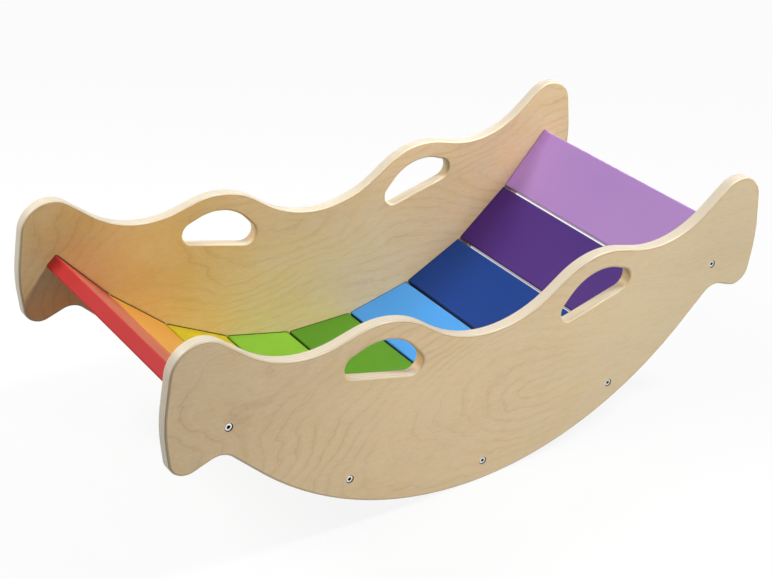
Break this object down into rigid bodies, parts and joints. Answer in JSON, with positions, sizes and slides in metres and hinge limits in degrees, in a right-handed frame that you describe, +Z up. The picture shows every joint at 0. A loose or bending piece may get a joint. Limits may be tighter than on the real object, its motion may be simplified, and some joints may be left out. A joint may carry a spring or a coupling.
{
  "type": "wooden rocker arch",
  "caption": "Wooden rocker for children: wavy plywood side panels with handle holes and a rocking edge, joined by painted boards in a hollow curve that also serves as a climbing arch.",
  "frame": {"origin": "on the floor under the middle of the rocker, where the rocking edges touch", "axes": "+X along the rocker towards the lilac board, +Y across it from the front panel to the back panel, +Z up"},
  "size_m": [1.0108, 0.45, 0.3715],
  "materials": {
    "plywood": "clear satin lacquer on birch plywood, layers showing on the edges",
    "paint_red": "satin paint on a wooden board",
    "paint_orange": "satin paint on a wooden board",
    "paint_yellow": "satin paint on a wooden board",
    "paint_light_green": "satin paint on a wooden board",
    "paint_green": "satin paint on a wooden board",
    "paint_light_blue": "satin paint on a wooden board",
    "paint_blue": "satin paint on a wooden board",
    "paint_purple": "satin paint on a wooden board",
    "paint_lilac": "satin paint on a wooden board",
    "bolt_steel": "zinc plated",
    "nut_steel": "zinc plated",
    "dowel_wood": "plain beech"
  },
  "bodies": {
    "root": {"panel_front": "plywood", "panel_back": "plywood", "slat_red": "paint_red", "slat_orange": "paint_orange", "slat_yellow": "paint_yellow", "slat_light_green": "paint_light_green", "slat_green": "paint_green", "slat_light_blue": "paint_light_blue", "slat_blue": "paint_blue", "slat_purple": "paint_purple", "slat_lilac": "paint_lilac", "bolt_front_red": "bolt_steel", "bolt_front_yellow": "bolt_steel", "bolt_front_green": "bolt_steel", "bolt_front_blue": "bolt_steel", "bolt_front_lilac": "bolt_steel", "bolt_back_red": "bolt_steel", "bolt_back_yellow": "bolt_steel", "bolt_back_green": "bolt_steel", "bolt_back_blue": "bolt_steel", "bolt_back_lilac": "bolt_steel", "nut_front_red": "nut_steel", "nut_front_yellow": "nut_steel", "nut_front_green": "nut_steel", "nut_front_blue": "nut_steel", "nut_front_lilac": "nut_steel", "nut_back_red": "nut_steel", "nut_back_yellow": "nut_steel", "nut_back_green": "nut_steel", "nut_back_blue": "nut_steel", "nut_back_lilac": "nut_steel", "dowels_red": "dowel_wood", "dowels_orange": "dowel_wood", "dowels_yellow": "dowel_wood", "dowels_light_green": "dowel_wood", "dowels_green": "dowel_wood", "dowels_light_blue": "dowel_wood", "dowels_blue": "dowel_wood", "dowels_purple": "dowel_wood", "dowels_lilac": "dowel_wood"}
  },
  "joints": []
}
